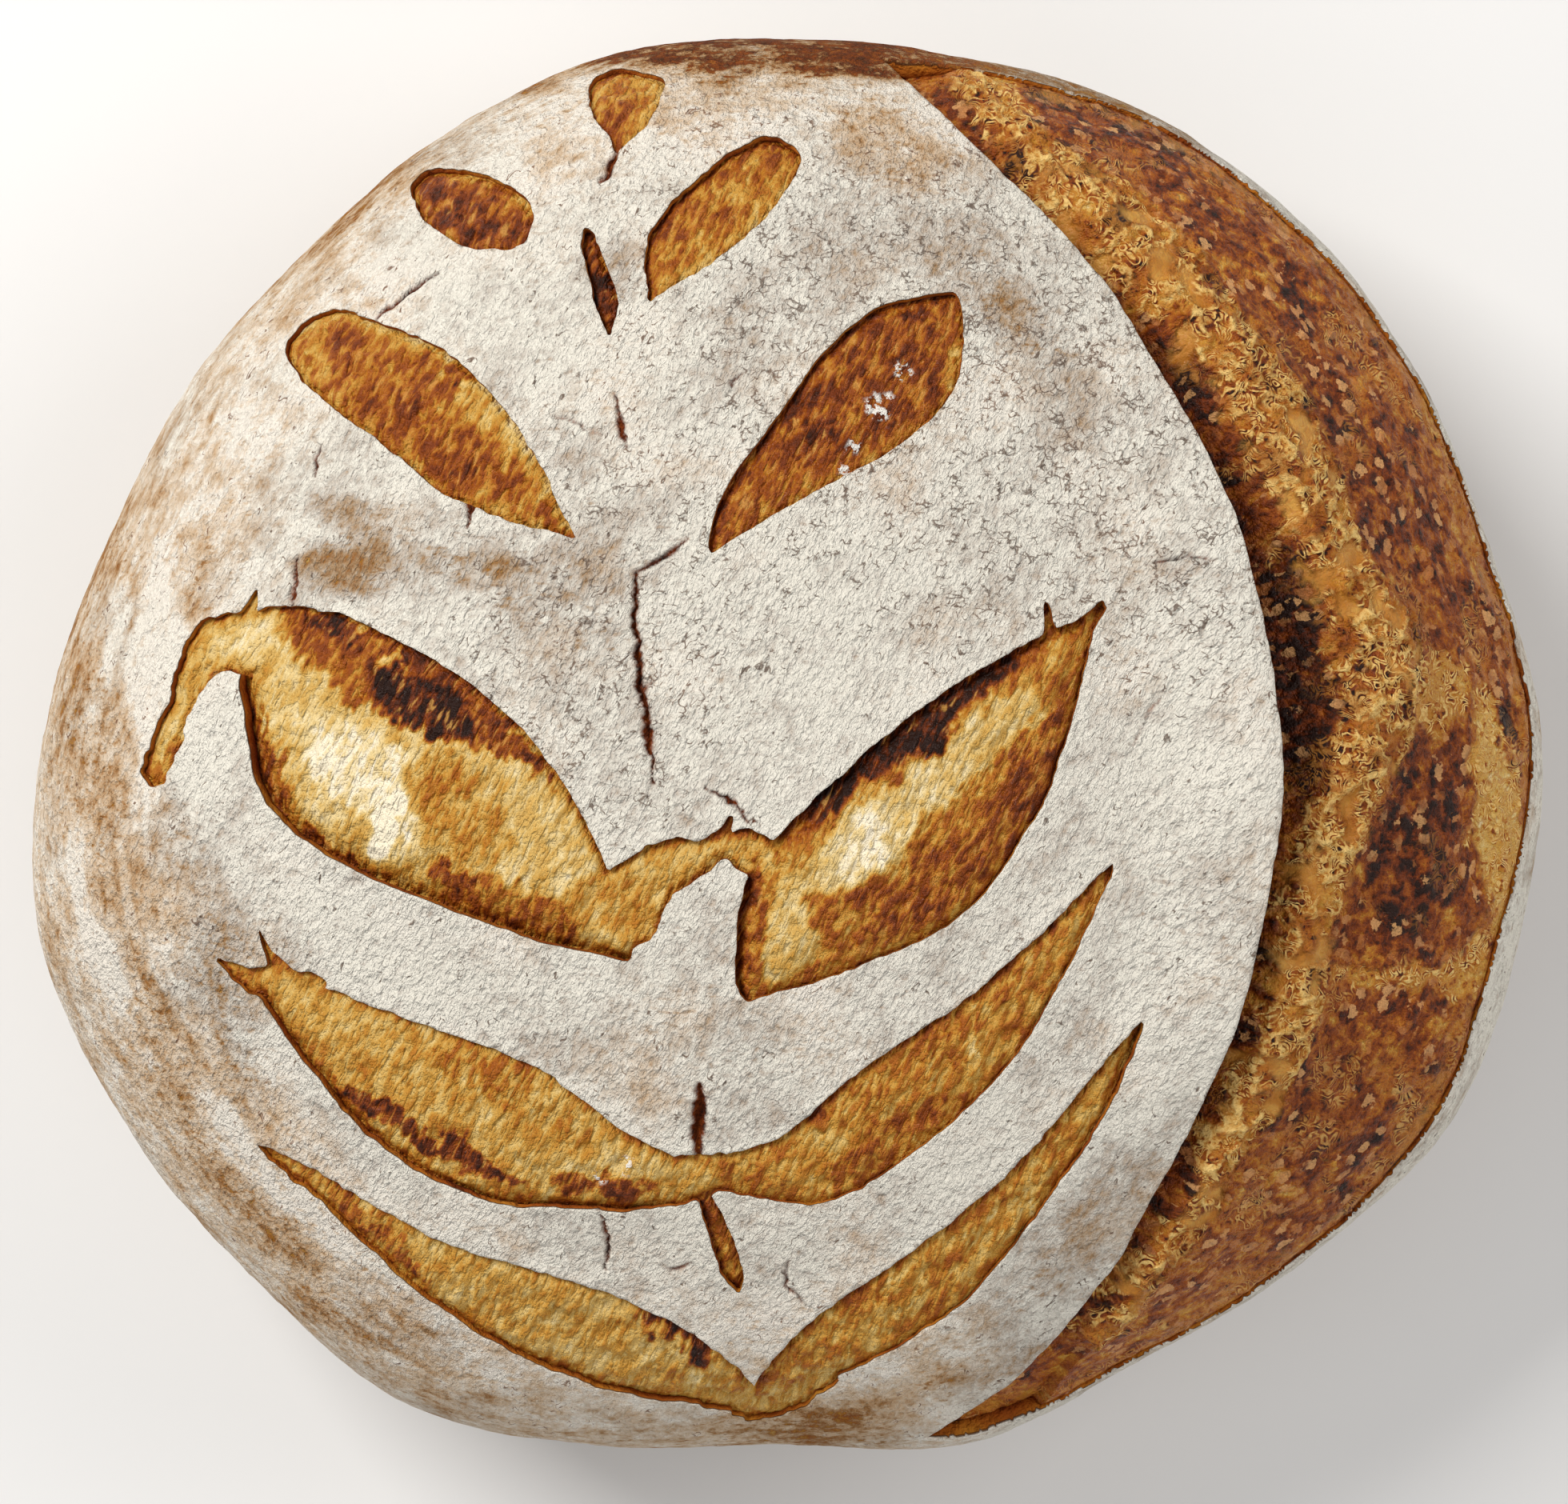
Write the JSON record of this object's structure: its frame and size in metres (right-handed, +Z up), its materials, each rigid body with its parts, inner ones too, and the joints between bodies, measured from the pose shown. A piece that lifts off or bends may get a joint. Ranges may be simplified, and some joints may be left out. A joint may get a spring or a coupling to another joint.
{
  "type": "sourdough loaf",
  "caption": "Round floured sourdough loaf, flat underneath, with a scored leaf pattern on the dome and a long crescent burst under a raised ear.",
  "frame": {"origin": "middle of the footprint, on the surface the loaf rests on", "axes": "+Z up out of the dome, +X the long way of the loaf, towards the crescent burst"},
  "size_m": [0.2238, 0.209, 0.0944],
  "materials": {
    "crust": null
  },
  "bodies": {
    "root": {"loaf": "crust"}
  },
  "joints": []
}
